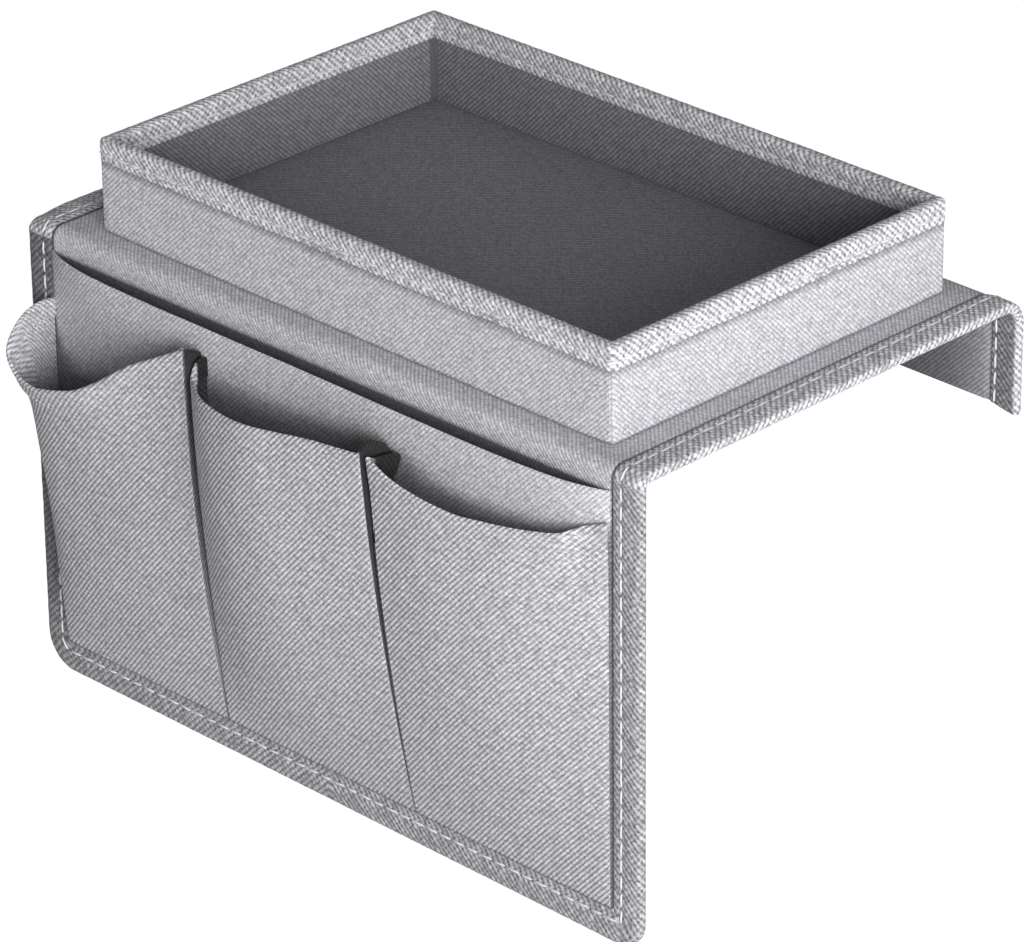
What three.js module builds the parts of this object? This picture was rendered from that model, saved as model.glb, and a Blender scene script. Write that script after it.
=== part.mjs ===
// Bedside pocket organizer: a stiffened cloth saddle that hangs over an arm or a rail, with an open tray
// on its top panel, and a magazine pocket and three pleated pockets on its long front flap.
//
// Millimetres, +Z up. The origin is the middle of the top panel's underside, which rests on the arm.
// X runs along the arm, the front flap hangs at -Y and the short rear flap at +Y.

import * as THREE from 'three';

// Overall sizes
const length = 330;
const depth = 210.8;
const frontDrop = 196.2;
const rearDrop = 45.9;

// Layers of a panel, from the arm outwards, and of what is sewn on it
const liningThickness = 0.7;
const boardThickness = 2.3;
const coverThickness = 0.7;
const bindingThickness = 0.7;
const bindingWidth = 13.3;
const seamGap = 0.3;

// Folds and corners
const frontFoldRadius = 5;
const rearFoldRadius = 10;
const flapCornerRadius = 11;
const foldSteps = 6;
const cornerSteps = 5;

// Tray on the top panel
const trayLeftMargin = 30.3;
const trayRightMargin = 25.6;
const trayFrontMargin = 12.6;
const trayRearMargin = 17.4;
const trayHeight = 38.7;
const trayCornerRadius = 1.5;
const trayClothThickness = 0.7;
const trayWallBoardThickness = 1.7;
const trayBaseBoardThickness = 1.6;
const trayRimDepth = 9.5;

// Magazine pocket: a flat panel that bows away from the flap at its mouth
const magazineClothThickness = 0.7;
const magazineMouthDrop = 9.5;
const magazineMouthBow = 8;
const magazineColumns = 22;
const magazineRows = 8;

// Pleated pockets in front of it. The middle pocket takes the width that the outer two leave.
const pocketClothThickness = 0.7;
const leftPocketWidth = 96;
const rightPocketWidth = 102.4;
const pocketColumns = 26;
const pocketRows = 9;

// A rim point is its share of the way across the pocket, then how far forward of the flap and below the top
const leftRim = [
  [0, 4, 27], [0, 20, 33], [0.02, 27, 39], [0.06, 31, 43.5], [0.14, 34, 46.5], [0.29, 37, 47.5],
  [0.38, 38, 45], [0.48, 37.5, 42.5], [0.59, 32, 38.4], [0.68, 26.5, 32], [0.84, 22, 23.3], [1, 18.4, 15],
];
const middleRim = [
  [0, 17.5, 26], [0.04, 19.5, 26.3], [0.09, 23, 26.6], [0.16, 27, 26.6], [0.23, 29.5, 26.6], [0.38, 32, 26.4],
  [0.58, 31, 24.7], [0.79, 28.5, 22.3], [1, 26.6, 20.8],
];
const rightRim = [
  [0, 26, 22], [0.15, 29, 23.6], [0.35, 31.5, 24.8], [0.52, 31.5, 25.2], [0.7, 26.5, 25], [0.83, 17, 26.6],
  [0.88, 7, 25.2], [1, 3, 22],
];

// How the pockets close towards their bottom seam
const pleatFallPower = 1.8;
const leftFlareShare = 0.59;
const leftFlareDrop = 14;
const pleatBackDrop = 6.5;

// Places that follow from the sizes above
const panelThickness = liningThickness + boardThickness + coverThickness;
const topSurface = panelThickness;
const halfLength = length / 2;
const frontFace = -depth / 2;
const rearFace = depth / 2;
const topFrontEnd = frontFace + frontFoldRadius;
const topRearEnd = rearFace - rearFoldRadius;
const frontFlapTop = topSurface - frontFoldRadius;
const rearFlapTop = topSurface - rearFoldRadius;
const frontFlapBottom = topSurface - frontDrop;
const rearFlapBottom = topSurface - rearDrop;
const seamLeft = -halfLength + bindingWidth;
const seamRight = halfLength - bindingWidth;
const leftPleatPlace = seamLeft + leftPocketWidth;
const rightPleatPlace = seamRight - rightPocketWidth;
const bottomSeamDrop = frontDrop - bindingWidth;

// Colours and surfaces
const coverCloth = { color: 0xb9b8be, roughness: 0.95, metalness: 0 };
const bindingCloth = { color: 0x9c9ba2, roughness: 0.95, metalness: 0 };
const liningCloth = { color: 0x77777d, roughness: 0.95, metalness: 0 };
const greyBoard = { color: 0x8f8a80, roughness: 0.9, metalness: 0 };

const organizer = new THREE.Group();

function add(name, geometry, look) {
  const mesh = new THREE.Mesh(geometry, new THREE.MeshStandardMaterial(look));
  mesh.name = name;
  organizer.add(mesh);
}

// Closed solids

// A solid from its corner points and triangles. Empty triangles are dropped, and all faces turn outwards.
function closedSolid(points, triangles) {
  const samePlace = (a, b) => points[a].every((value, axis) => Math.abs(value - points[b][axis]) < 1e-6);
  const kept = triangles.filter(([a, b, c]) => !samePlace(a, b) && !samePlace(b, c) && !samePlace(c, a));
  const corner = (index) => new THREE.Vector3(...points[index]);
  let volume = 0;
  for (const [a, b, c] of kept) {
    volume += corner(a).dot(corner(b).cross(corner(c)));
  }
  const outward = volume > 0 ? kept : kept.map(([a, b, c]) => [a, c, b]);
  const geometry = new THREE.BufferGeometry();
  const positions = outward.flat().flatMap((index) => points[index]);
  geometry.setAttribute('position', new THREE.Float32BufferAttribute(positions, 3));
  geometry.computeVertexNormals();
  return geometry;
}

// A flat section carried through a list of places, each a function from a section point to [x, y, z].
// A closed sweep joins its last place to its first, and an open one has its section as a cap at both ends.
function sweep(section, places, isClosed = false) {
  const points = places.flatMap((place) => section.map((point) => place(point)));
  const size = section.length;
  const triangles = [];
  const spans = isClosed ? places.length : places.length - 1;
  for (let span = 0; span < spans; span += 1) {
    const near = span * size;
    const far = ((span + 1) % places.length) * size;
    for (let side = 0; side < size; side += 1) {
      const next = (side + 1) % size;
      triangles.push([near + side, near + next, far + next], [near + side, far + next, far + side]);
    }
  }
  if (!isClosed) {
    const flat = section.map(([u, v]) => new THREE.Vector2(u, v));
    const isClockwise = THREE.ShapeUtils.isClockWise(flat);
    const last = (places.length - 1) * size;
    for (const [a, b, c] of THREE.ShapeUtils.triangulateShape(flat, [])) {
      const [second, third] = isClockwise ? [b, c] : [c, b];
      triangles.push([a, second, third], [last + a, last + third, last + second]);
    }
  }
  return closedSolid(points, triangles);
}

// A box between two values on each axis
function block([x0, x1], [y0, y1], [z0, z1]) {
  const section = [[x0, y0], [x1, y0], [x1, y1], [x0, y1]];
  return sweep(section, [z0, z1].map((z) => ([x, y]) => [x, y, z]));
}

// A cloth between two grids of points, stitched round its border
function sheet(outer, inner) {
  const rows = outer.length;
  const columns = outer[0].length;
  const points = [...outer.flat(), ...inner.flat()];
  const front = (row, column) => row * columns + column;
  const back = (row, column) => rows * columns + front(row, column);
  const triangles = [];
  const quad = (a, b, c, d) => triangles.push([a, b, c], [a, c, d]);
  for (let row = 0; row < rows - 1; row += 1) {
    for (let column = 0; column < columns - 1; column += 1) {
      quad(front(row, column), front(row, column + 1), front(row + 1, column + 1), front(row + 1, column));
      quad(back(row, column), back(row + 1, column), back(row + 1, column + 1), back(row, column + 1));
    }
    const side = columns - 1;
    quad(front(row, 0), front(row + 1, 0), back(row + 1, 0), back(row, 0));
    quad(front(row + 1, side), front(row, side), back(row, side), back(row + 1, side));
  }
  for (let column = 0; column < columns - 1; column += 1) {
    quad(front(0, column + 1), front(0, column), back(0, column), back(0, column + 1));
    const end = rows - 1;
    quad(front(end, column), front(end, column + 1), back(end, column + 1), back(end, column));
  }
  return closedSolid(points, triangles);
}

// Outlines

// The points of a quarter circle between two angles in degrees
function quarterArc(centreX, centreY, radius, fromDegrees, toDegrees, steps) {
  const points = [];
  for (let step = 0; step <= steps; step += 1) {
    const angle = THREE.MathUtils.degToRad(fromDegrees + ((toDegrees - fromDegrees) * step) / steps);
    points.push([centreX + radius * Math.cos(angle), centreY + radius * Math.sin(angle)]);
  }
  return points;
}

// The front flap's edge in X and Z, from its top left down and round to its top right, moved in by an inset
function flapEdge(inset) {
  const reach = Math.max(inset, flapCornerRadius);
  const radius = reach - inset;
  const low = frontFlapBottom + reach;
  return [
    [-halfLength + inset, frontFlapTop],
    ...quarterArc(-halfLength + reach, low, radius, 180, 270, cornerSteps),
    ...quarterArc(halfLength - reach, low, radius, 270, 360, cornerSteps),
    [halfLength - inset, frontFlapTop],
  ];
}

// The tray's outline in X and Y, moved in by an inset
function trayEdge(inset) {
  const reach = Math.max(inset, trayCornerRadius);
  const radius = reach - inset;
  const left = -halfLength + trayLeftMargin + reach;
  const right = halfLength - trayRightMargin - reach;
  const front = frontFace + trayFrontMargin + reach;
  const rear = rearFace - trayRearMargin - reach;
  return [
    ...quarterArc(right, rear, radius, 0, 90, cornerSteps),
    ...quarterArc(left, rear, radius, 90, 180, cornerSteps),
    ...quarterArc(left, front, radius, 180, 270, cornerSteps),
    ...quarterArc(right, front, radius, 270, 360, cornerSteps),
  ];
}

// The U of a folded binding: how far in from the edge, then the side of the panel, from its face to its back.
// It lies on the cover in front. Behind, it lies on the board beside the lining, and flush with it.
function bindingSection(face, boardBack, liningBack, outward) {
  const faceSide = face + outward * bindingThickness;
  return [
    [0, faceSide], [bindingWidth, faceSide], [bindingWidth, face], [bindingThickness, face],
    [bindingThickness, boardBack], [bindingWidth, boardBack], [bindingWidth, liningBack], [0, liningBack],
  ];
}

// Top panel

function addTopPanel() {
  const inner = [-halfLength + bindingThickness, halfLength - bindingThickness];
  const span = [topFrontEnd, topRearEnd];
  const boardTop = liningThickness + boardThickness;
  add('top_lining', block([seamLeft, seamRight], span, [0, liningThickness]), coverCloth);
  add('top_board', block(inner, span, [liningThickness, boardTop]), greyBoard);
  add('top_cover_cloth', block(inner, span, [boardTop, topSurface]), coverCloth);
  const section = bindingSection(topSurface, liningThickness, 0, 1);
  for (const [side, name] of [[-1, 'left_top_binding'], [1, 'right_top_binding']]) {
    const places = span.map((y) => ([inset, z]) => [side * (halfLength - inset), y, z]);
    add(name, sweep(section, places), bindingCloth);
  }
}

// Folds between the top panel and the flaps

function addFold(name, centreY, foldRadius, sideOfFlap) {
  const centreZ = topSurface - foldRadius;
  const stripRadius = foldRadius - coverThickness - boardThickness;
  const liningRadius = stripRadius - liningThickness;
  const places = [];
  for (let step = 0; step <= foldSteps; step += 1) {
    const angle = (Math.PI / 2) * (step / foldSteps);
    const forward = sideOfFlap * Math.sin(angle);
    const upward = Math.cos(angle);
    places.push(([x, radius]) => [x, centreY + forward * radius, centreZ + upward * radius]);
  }
  const edge = halfLength - bindingThickness;
  const strip = [[-edge, stripRadius], [edge, stripRadius], [edge, foldRadius], [-edge, foldRadius]];
  const lining = [
    [seamLeft, liningRadius], [seamRight, liningRadius], [seamRight, stripRadius], [seamLeft, stripRadius],
  ];
  add(`${name}_fold_cloth`, sweep(strip, places), coverCloth);
  add(`${name}_fold_lining`, sweep(lining, places), coverCloth);
  const section = bindingSection(foldRadius, stripRadius, liningRadius, 1);
  for (const [side, sideName] of [[-1, 'left'], [1, 'right']]) {
    const atSide = (place) => ([inset, radius]) => place([side * (halfLength - inset), radius]);
    add(`${sideName}_${name}_fold_binding`, sweep(section, places.map(atSide)), bindingCloth);
  }
}

// Front flap, with its binding round three sides

function addFrontFlap() {
  const coverBack = frontFace + coverThickness;
  const boardBack = coverBack + boardThickness;
  const liningBack = boardBack + liningThickness;
  const outline = flapEdge(bindingThickness);
  const layer = (from, to) => sweep(outline, [from, to].map((y) => ([x, z]) => [x, y, z]));
  const seamSpan = [seamLeft, seamRight];
  const liningSpan = [frontFlapBottom + bindingWidth, frontFlapTop];
  add('front_flap_cover', layer(frontFace, coverBack), coverCloth);
  add('front_flap_board', layer(coverBack, boardBack), greyBoard);
  add('front_flap_lining', block(seamSpan, [boardBack, liningBack], liningSpan), coverCloth);
  const places = outline.map((point, index) => ([inset, y]) => {
    const [x, z] = flapEdge(inset)[index];
    return [x, y, z];
  });
  const section = bindingSection(frontFace, boardBack, liningBack, -1);
  add('front_flap_binding', sweep(section, places), bindingCloth);
}

// Rear flap, with a binding down each side

function addRearFlap() {
  const coverBack = rearFace - coverThickness;
  const boardBack = coverBack - boardThickness;
  const liningBack = boardBack - liningThickness;
  const inner = [-halfLength + bindingThickness, halfLength - bindingThickness];
  const span = [rearFlapBottom, rearFlapTop];
  add('rear_flap_cover', block(inner, [coverBack, rearFace], span), coverCloth);
  add('rear_flap_board', block(inner, [boardBack, coverBack], span), greyBoard);
  add('rear_flap_lining', block([seamLeft, seamRight], [liningBack, boardBack], span), coverCloth);
  const section = bindingSection(rearFace, boardBack, liningBack, 1);
  for (const [side, name] of [[-1, 'rear_flap_left_binding'], [1, 'rear_flap_right_binding']]) {
    const places = span.map((z) => ([inset, y]) => [side * (halfLength - inset), y, z]);
    add(name, sweep(section, places), bindingCloth);
  }
}

// Tray: four wall boards and a base board between an outer cover and a lining, with a bound rim

function addTray() {
  const coverFace = bindingThickness;
  const boardFace = coverFace + trayClothThickness;
  const liningFace = boardFace + trayWallBoardThickness;
  const inside = liningFace + trayClothThickness;
  const rim = topSurface + trayHeight;
  const wallTop = rim - bindingThickness;
  const ring = (section) => sweep(section, trayEdge(0).map((point, index) => ([inset, z]) => {
    const [x, y] = trayEdge(inset)[index];
    return [x, y, z];
  }), true);
  const wall = (from, to) => [[from, topSurface], [to, topSurface], [to, wallTop], [from, wallTop]];
  add('tray_outer_cover', ring(wall(coverFace, boardFace)), coverCloth);
  add('tray_inner_lining', ring(wall(liningFace, inside)), liningCloth);
  add('tray_rim_binding', ring([
    [0, rim - trayRimDepth], [0, rim], [inside + bindingThickness, rim],
    [inside + bindingThickness, rim - trayRimDepth], [inside, rim - trayRimDepth], [inside, wallTop],
    [coverFace, wallTop], [coverFace, rim - trayRimDepth],
  ]), bindingCloth);

  const left = -halfLength + trayLeftMargin;
  const right = halfLength - trayRightMargin;
  const front = frontFace + trayFrontMargin;
  const rear = rearFace - trayRearMargin;
  const alongX = [left + trayCornerRadius, right - trayCornerRadius];
  const alongY = [front + liningFace, rear - liningFace];
  const tall = [topSurface, wallTop];
  add('tray_front_board', block(alongX, [front + boardFace, front + liningFace], tall), greyBoard);
  add('tray_rear_board', block(alongX, [rear - liningFace, rear - boardFace], tall), greyBoard);
  add('tray_left_board', block([left + boardFace, left + liningFace], alongY, tall), greyBoard);
  add('tray_right_board', block([right - liningFace, right - boardFace], alongY, tall), greyBoard);

  const baseTop = topSurface + trayBaseBoardThickness;
  const floorTop = baseTop + trayClothThickness;
  const base = (from, to) => sweep(trayEdge(inside), [from, to].map((z) => ([x, y]) => [x, y, z]));
  add('tray_base_board', base(topSurface, baseTop), greyBoard);
  add('tray_floor_lining', base(baseTop, floorTop), liningCloth);
}

// Pockets. Their points are [x, forward of the flap's cover, below the top surface].

const onFlap = ([x, forward, drop]) => [x, frontFace - forward, topSurface - drop];

// How far the magazine panel's back stands off the flap
function magazineStandOff(x, drop) {
  const across = Math.abs(x) / seamRight;
  const down = (drop - magazineMouthDrop) / (bottomSeamDrop - magazineMouthDrop);
  return magazineMouthBow * Math.max(1 - across ** 3, 0) * Math.max(1 - down ** 2, 0);
}

function addMagazinePanel() {
  const face = (extra) => {
    const grid = [];
    for (let row = 0; row <= magazineRows; row += 1) {
      const drop = THREE.MathUtils.lerp(magazineMouthDrop, bottomSeamDrop, row / magazineRows);
      const line = [];
      for (let column = 0; column <= magazineColumns; column += 1) {
        const x = THREE.MathUtils.lerp(seamLeft, seamRight, column / magazineColumns);
        line.push(onFlap([x, magazineStandOff(x, drop) + extra, drop]));
      }
      grid.push(line);
    }
    return grid;
  };
  add('magazine_pocket_panel', sheet(face(magazineClothThickness), face(0)), coverCloth);
}

// Where a pocket's cloth lies when it is flat against the magazine panel, on its outer side
function sewnFlat(x, drop) {
  return magazineStandOff(x, drop) + magazineClothThickness + seamGap + pocketClothThickness;
}

// A pocket's front cloth between two places across the flap. From its open rim it falls to the bottom seam.
function pocketSurface(fromX, toX, rim, flareShare) {
  const curve = new THREE.CatmullRomCurve3(rim.map(([share, forward, drop]) => (
    new THREE.Vector3(THREE.MathUtils.lerp(fromX, toX, share), forward, drop))));
  const grid = [];
  for (let row = 0; row <= pocketRows; row += 1) {
    const line = [];
    for (let column = 0; column <= pocketColumns; column += 1) {
      const along = column / pocketColumns;
      const start = curve.getPointAt(along);
      const down = row / pocketRows;
      const drop = THREE.MathUtils.lerp(start.z, bottomSeamDrop - seamGap, down);
      const x = THREE.MathUtils.lerp(start.x, THREE.MathUtils.lerp(fromX, toX, along), down);
      const flare = flareShare * (1 - along);
      const flareLeft = Math.exp(-(((drop - start.z) / leftFlareDrop) ** 1.5));
      const fall = flare * flareLeft + (1 - flare) * (1 - down ** pleatFallPower);
      const open = Math.max(start.y - sewnFlat(start.x, start.z), 0);
      line.push([x, sewnFlat(x, drop) + open * fall, drop]);
    }
    grid.push(line);
  }
  return grid;
}

// The same surface moved back by the cloth's thickness, square to it
function innerSide(grid) {
  return grid.map((line, row) => line.map((point, column) => {
    const above = new THREE.Vector3(...grid[Math.max(row - 1, 0)][column]);
    const below = new THREE.Vector3(...grid[Math.min(row + 1, grid.length - 1)][column]);
    const before = new THREE.Vector3(...line[Math.max(column - 1, 0)]);
    const after = new THREE.Vector3(...line[Math.min(column + 1, line.length - 1)]);
    const normal = below.sub(above).cross(after.sub(before)).normalize();
    return new THREE.Vector3(...point).addScaledVector(normal, pocketClothThickness).toArray();
  }));
}

function addPocket(name, fromX, toX, rim, flareShare = 0) {
  const surface = pocketSurface(fromX, toX, rim, flareShare);
  const outer = surface.map((line) => line.map(onFlap));
  const inner = innerSide(surface).map((line) => line.map(onFlap));
  add(name, sheet(outer, inner), coverCloth);
  return surface;
}

// A pleat between two pockets: doubled cloth from the magazine panel out to the fold where the pockets meet
function addPleat(name, x, foldLine) {
  const back = ([, , drop]) => [magazineStandOff(x, drop) + magazineClothThickness + seamGap, drop];
  const front = foldLine.map(([, forward, drop]) => [forward, drop]);
  const top = foldLine[0];
  const section = [...front, ...foldLine.slice(1).reverse().map(back), back([x, 0, top[2] + pleatBackDrop])];
  const sides = [x - pocketClothThickness, x + pocketClothThickness];
  const places = sides.map((side) => ([forward, drop]) => onFlap([side, forward, drop]));
  add(name, sweep(section, places), coverCloth);
}

function addPockets() {
  const pleatGap = pocketClothThickness + seamGap;
  const leftOfPleats = [leftPleatPlace - pleatGap, rightPleatPlace - pleatGap];
  const rightOfPleats = [leftPleatPlace + pleatGap, rightPleatPlace + pleatGap];
  const lastOf = (surface) => surface.map((line) => line[line.length - 1]);
  const left = addPocket('left_pocket_front', seamLeft + seamGap, leftOfPleats[0], leftRim, leftFlareShare);
  const middle = addPocket('middle_pocket_front', rightOfPleats[0], leftOfPleats[1], middleRim);
  addPocket('right_pocket_front', rightOfPleats[1], seamRight - seamGap, rightRim);
  addPleat('left_pleat', leftPleatPlace, lastOf(left));
  addPleat('right_pleat', rightPleatPlace, lastOf(middle));
}

addTopPanel();
addFold('front', topFrontEnd, frontFoldRadius, -1);
addFold('rear', topRearEnd, rearFoldRadius, 1);
addFrontFlap();
addRearFlap();
addTray();
addMagazinePanel();
addPockets();

export default organizer;
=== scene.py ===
# Dresses the bedside pocket organizer in twill: its cloths, folded bindings, pockets and stitching, on the
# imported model's frame. Sizes are in millimetres in the part's own frame, and each mesh is in metres.

import math
from functools import partial

import bpy
import numpy as np
from mathutils import Matrix, Vector, noise


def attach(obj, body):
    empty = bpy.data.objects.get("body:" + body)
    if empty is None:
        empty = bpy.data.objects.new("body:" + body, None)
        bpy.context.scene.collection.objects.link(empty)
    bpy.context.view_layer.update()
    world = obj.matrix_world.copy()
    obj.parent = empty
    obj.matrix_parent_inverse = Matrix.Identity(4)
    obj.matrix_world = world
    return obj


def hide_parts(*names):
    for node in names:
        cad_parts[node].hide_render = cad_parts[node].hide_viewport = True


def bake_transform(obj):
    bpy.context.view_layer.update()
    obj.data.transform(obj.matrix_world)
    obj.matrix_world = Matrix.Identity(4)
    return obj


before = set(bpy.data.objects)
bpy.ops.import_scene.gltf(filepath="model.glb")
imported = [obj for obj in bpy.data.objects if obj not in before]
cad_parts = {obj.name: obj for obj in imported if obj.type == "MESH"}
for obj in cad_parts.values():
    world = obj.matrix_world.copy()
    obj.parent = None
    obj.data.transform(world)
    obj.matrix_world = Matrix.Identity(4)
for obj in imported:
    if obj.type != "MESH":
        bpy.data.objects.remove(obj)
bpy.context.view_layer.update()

MM = 0.001

# Sizes that the part has too
half_length = 165.0
front_face = -105.4
rear_face = 105.4
front_bottom = -192.5
rear_bottom = -42.2
top_surface = 3.7
cloth_thickness = 0.7
board_thickness = 2.3
lining_thickness = 0.7
panel_thickness = cloth_thickness + board_thickness + lining_thickness
binding_width = 13.3
front_fold_radius = 5.0
rear_fold_radius = 10.0
flap_corner_radius = 11.0
top_front_end = front_face + front_fold_radius
top_rear_end = rear_face - rear_fold_radius
front_flap_top = top_surface - front_fold_radius
rear_flap_top = top_surface - rear_fold_radius
seam = half_length - binding_width
bottom_seam_drop = 182.9

tray_left = -134.7
tray_right = 139.4
tray_front = -92.8
tray_rear = 88.0
tray_rim = 42.4
tray_base = top_surface
tray_floor = 6.0
tray_corner_radius = 1.5

magazine_mouth_drop = 9.5
magazine_mouth_bow = 8.0
left_pleat = -55.7
right_pleat = 49.3

# Sizes of the cloths, the sewing and the pleats
cover_reach = half_length - 5
lining_reach = seam + 2.2
back_leg_width = 12.1
binding_thickness = 0.6
corner_slump = 1.3
bottom_sag = 0.7
rim_binding_depth = 9.5
wall_cloth_top = 40.5
outer_wall_inset = -0.5
inner_wall_inset = 3.8
wall_middle_inset = 2.25
tray_centre = (2.35, -2.4)
tray_half_sizes = (137, 90)
pocket_thickness = 0.65
hem_depth = 8.0
panel_hem_thickness = 1.1
pocket_hem_thickness = 1.5
left_pleat_open = 0.5
right_pleat_open = 0.95
stitch_pitch = 7.3
stitch_length = 6.1
stitch_width = 1.0
face_stitch_inset = 8.8
back_stitch_inset = 10.2
face_stitch_level = 0.72
back_stitch_level = -panel_thickness - 0.05
rim_stitch_drop = 6.0

# How many steps the outlines have along each side and round each corner
flap_side_steps = 75
flap_bottom_steps = 128
flap_corner_steps = 9
tray_long_steps = 110
tray_short_steps = 70
tray_corner_steps = 8

# Pocket rims, each point its place across, how far forward of the flap and how far below the top surface.
# They start and end with the walls that go back to the magazine panel.
left_rim_back = [(-151.5, 1.4, 29.5), (-151.6, 8, 28.8), (-151.7, 15, 30.2)]
left_rim_front = [
    (-151.6, 20.5, 33.6), (-149.9, 26.6, 39.1), (-148.1, 29, 43.7), (-143.9, 30, 48.4), (-138.8, 30.4, 51.2),
    (-131.8, 30.3, 52.6), (-124.3, 30, 51.2), (-116, 29.3, 49.1), (-108.3, 28.3, 46.4), (-101.2, 27.1, 42.2),
    (-95.7, 26.1, 38.7), (-89, 24.8, 33.7), (-81.2, 23.2, 28.6), (-71.8, 21.4, 23.6), (-62.2, 19.6, 18.5),
    (-58.2, 18.8, 16.3), (-56.9, 18.5, 15.6),
]
left_rim_return = [(-56.6, 17.4, 15.8), (-56.6, 12, 18.2), (-56.6, 7, 20.7), (-56.6, 3.2, 23.8)]
middle_rim_back = [(-54.8, 3.4, 22.4), (-54.8, 8.1, 21.1), (-54.8, 11.1, 20.4), (-54.8, 13.4, 21.1)]
middle_rim_front = [
    (-54.8, 15, 23), (-54.7, 16.3, 26), (-53.6, 17.6, 27.6), (-51.4, 19.2, 27), (-46.5, 23, 26.6),
    (-39.3, 27, 26.6), (-32.2, 29.5, 26.6), (-25, 31, 26.6), (-15.6, 32, 26.4), (-4.7, 32, 25.6),
    (5.2, 31, 24.7), (15, 30, 23.4), (26.9, 28.6, 22.3), (34.4, 28, 22), (41.3, 27.2, 21.6),
    (46, 26.8, 21.2), (47.9, 26.3, 20.4),
]
middle_rim_return = [
    (48.3, 25, 18.2), (48.4, 23.3, 17), (48.4, 20.8, 17.3), (48.4, 18.3, 18.3), (48.4, 13.2, 20.9),
    (48.4, 9.2, 26.1),
]
right_rim_back = [(50.2, 8, 26.2), (50.2, 11.1, 24.7), (50.2, 17.8, 23.5)]
right_rim_front = [
    (50.2, 24, 22.5), (50.15, 25.2, 21.9), (50.8, 25.6, 22), (54.2, 25.6, 23.3), (60.8, 25.6, 26.1),
    (68.1, 25, 28.3), (77.4, 24.1, 30.2), (86.7, 23, 31.5), (93.6, 22.1, 32), (104.5, 20.2, 31.5),
    (113, 18.4, 30.9), (121.2, 16.2, 30.2), (130.9, 13.2, 29.1), (136.6, 11, 27.9), (139.8, 8, 26.3),
    (143.2, 5.2, 24.7), (147.5, 4, 23.2), (151, 3, 22),
]

# The camera, fitted to the photograph
camera_azimuth = 44.702
camera_elevation = 26.678
camera_roll = -0.4635
camera_distance = 2256.1
camera_target = (0.0, 10.1, -95.3)
photo_width = 1024
photo_height = 942
focal_pixels = 5733.2
principal_point = (538.28, 478.35)
sensor_width = 36

# The lamp, the floor and the sky, in metres and watts
lamp_place = (2.217, -1.28, 0.452)
lamp_target = (0, 0, -0.05)
lamp_size = 1.6
lamp_power = 68
floor_size = 14
floor_place = (0, 2, -0.42)
floor_glow = 0.8
sky_light = 0.2


# Meshes


def only(piece):
    bpy.ops.object.select_all(action="DESELECT")
    piece.select_set(True)
    bpy.context.view_layer.objects.active = piece


def set_all(target, **settings):
    for name, value in settings.items():
        setattr(target, name, value)


def apply_modifier(piece, kind, **settings):
    only(piece)
    modifier = piece.modifiers.new(kind.title(), kind)
    set_all(modifier, **settings)
    bpy.ops.object.modifier_apply(modifier=modifier.name)


def smooth(piece, degrees=38):
    only(piece)
    bpy.ops.object.shade_smooth_by_angle(angle=math.radians(degrees))


def distances(points, axis):
    """Arc length in metres along one axis of a grid of points, averaged over the other."""
    steps = np.linalg.norm(np.diff(points, axis=axis), axis=2).mean(axis=1 - axis)
    return np.concatenate([[0.0], np.cumsum(steps)]) * MM


def run_lengths(points):
    """How far along a line each of its points is, in millimetres."""
    points = np.array(points, float)
    return np.concatenate([[0.0], np.cumsum(np.linalg.norm(np.diff(points, axis=0), axis=1))])


def spread_map(across, up):
    """A UV map from the places of its columns and of its rows."""
    return np.stack(np.broadcast_arrays(across[None, :], up[:, None]), axis=2)


def cloth(name, grid, finish, thickness=cloth_thickness, uv=None, crease=None, soften=0.22):
    """A cloth through a grid of points, its rows from the bottom up and its columns to the right as seen from
    outside. They are its outer surface, and its thickness goes inwards. Its UV map is its cut in metres."""
    points = np.array(grid, float)
    rows, columns = points.shape[:2]
    bpy.ops.mesh.primitive_grid_add(x_subdivisions=columns - 1, y_subdivisions=rows - 1, size=2)
    piece = bpy.context.active_object
    piece.name = name
    mesh = piece.data
    mesh.name = name
    flat = np.array([v.co[:2] for v in mesh.vertices])
    column = np.rint((flat[:, 0] + 1) / 2 * (columns - 1)).astype(int)
    row = np.rint((flat[:, 1] + 1) / 2 * (rows - 1)).astype(int)
    mesh.vertices.foreach_set("co", (points[row, column] * MM).ravel())
    if uv is None:
        uv = spread_map(distances(points, 1), distances(points, 0))
    loops = np.zeros(len(mesh.loops), int)
    mesh.loops.foreach_get("vertex_index", loops)
    mesh.uv_layers[0].data.foreach_set("uv", np.asarray(uv)[row, column][loops].ravel())
    # The painted shade at each point, kept in an attribute that the cloth's finish reads
    shade = np.zeros((rows, columns)) if crease is None else np.asarray(crease, float)
    attribute = mesh.attributes.new("crease", "FLOAT", "POINT")
    attribute.data.foreach_set("value", shade[row, column].ravel())
    bpy.ops.object.mode_set(mode="EDIT")
    bpy.ops.mesh.select_all(action="SELECT")
    bpy.ops.mesh.remove_doubles(threshold=2e-6)
    bpy.ops.object.mode_set(mode="OBJECT")
    apply_modifier(piece, "SOLIDIFY", thickness=thickness * MM, offset=-1, use_even_offset=False)
    if soften:
        apply_modifier(piece, "BEVEL", width=soften * MM, segments=2, limit_method="ANGLE",
                       angle_limit=math.radians(62), miter_outer="MITER_ARC", use_clamp_overlap=True)
    smooth(piece)
    mesh.materials.clear()
    mesh.materials.append(finish)
    return piece


def wobble(x, y, z, size, amount, seed=0.0):
    """A smooth unevenness that has no period, the same on each run."""
    return amount * noise.noise(Vector((x / size + seed, y / size - seed, z / size + 2 * seed)))


def evenly(start, end, count):
    """Evenly spaced values from start to end, by the number of steps."""
    return [start + (end - start) * index / count for index in range(count + 1)]


def spread(start, end, step):
    """Evenly spaced values from start to end, no further apart than a step."""
    return evenly(start, end, max(1, math.ceil(abs(end - start) / step)))


def joined(*runs):
    """Runs of values or points end to end, each shared end once."""
    values = list(runs[0])
    for run in runs[1:]:
        values.extend(list(run)[1:])
    return values


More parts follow.
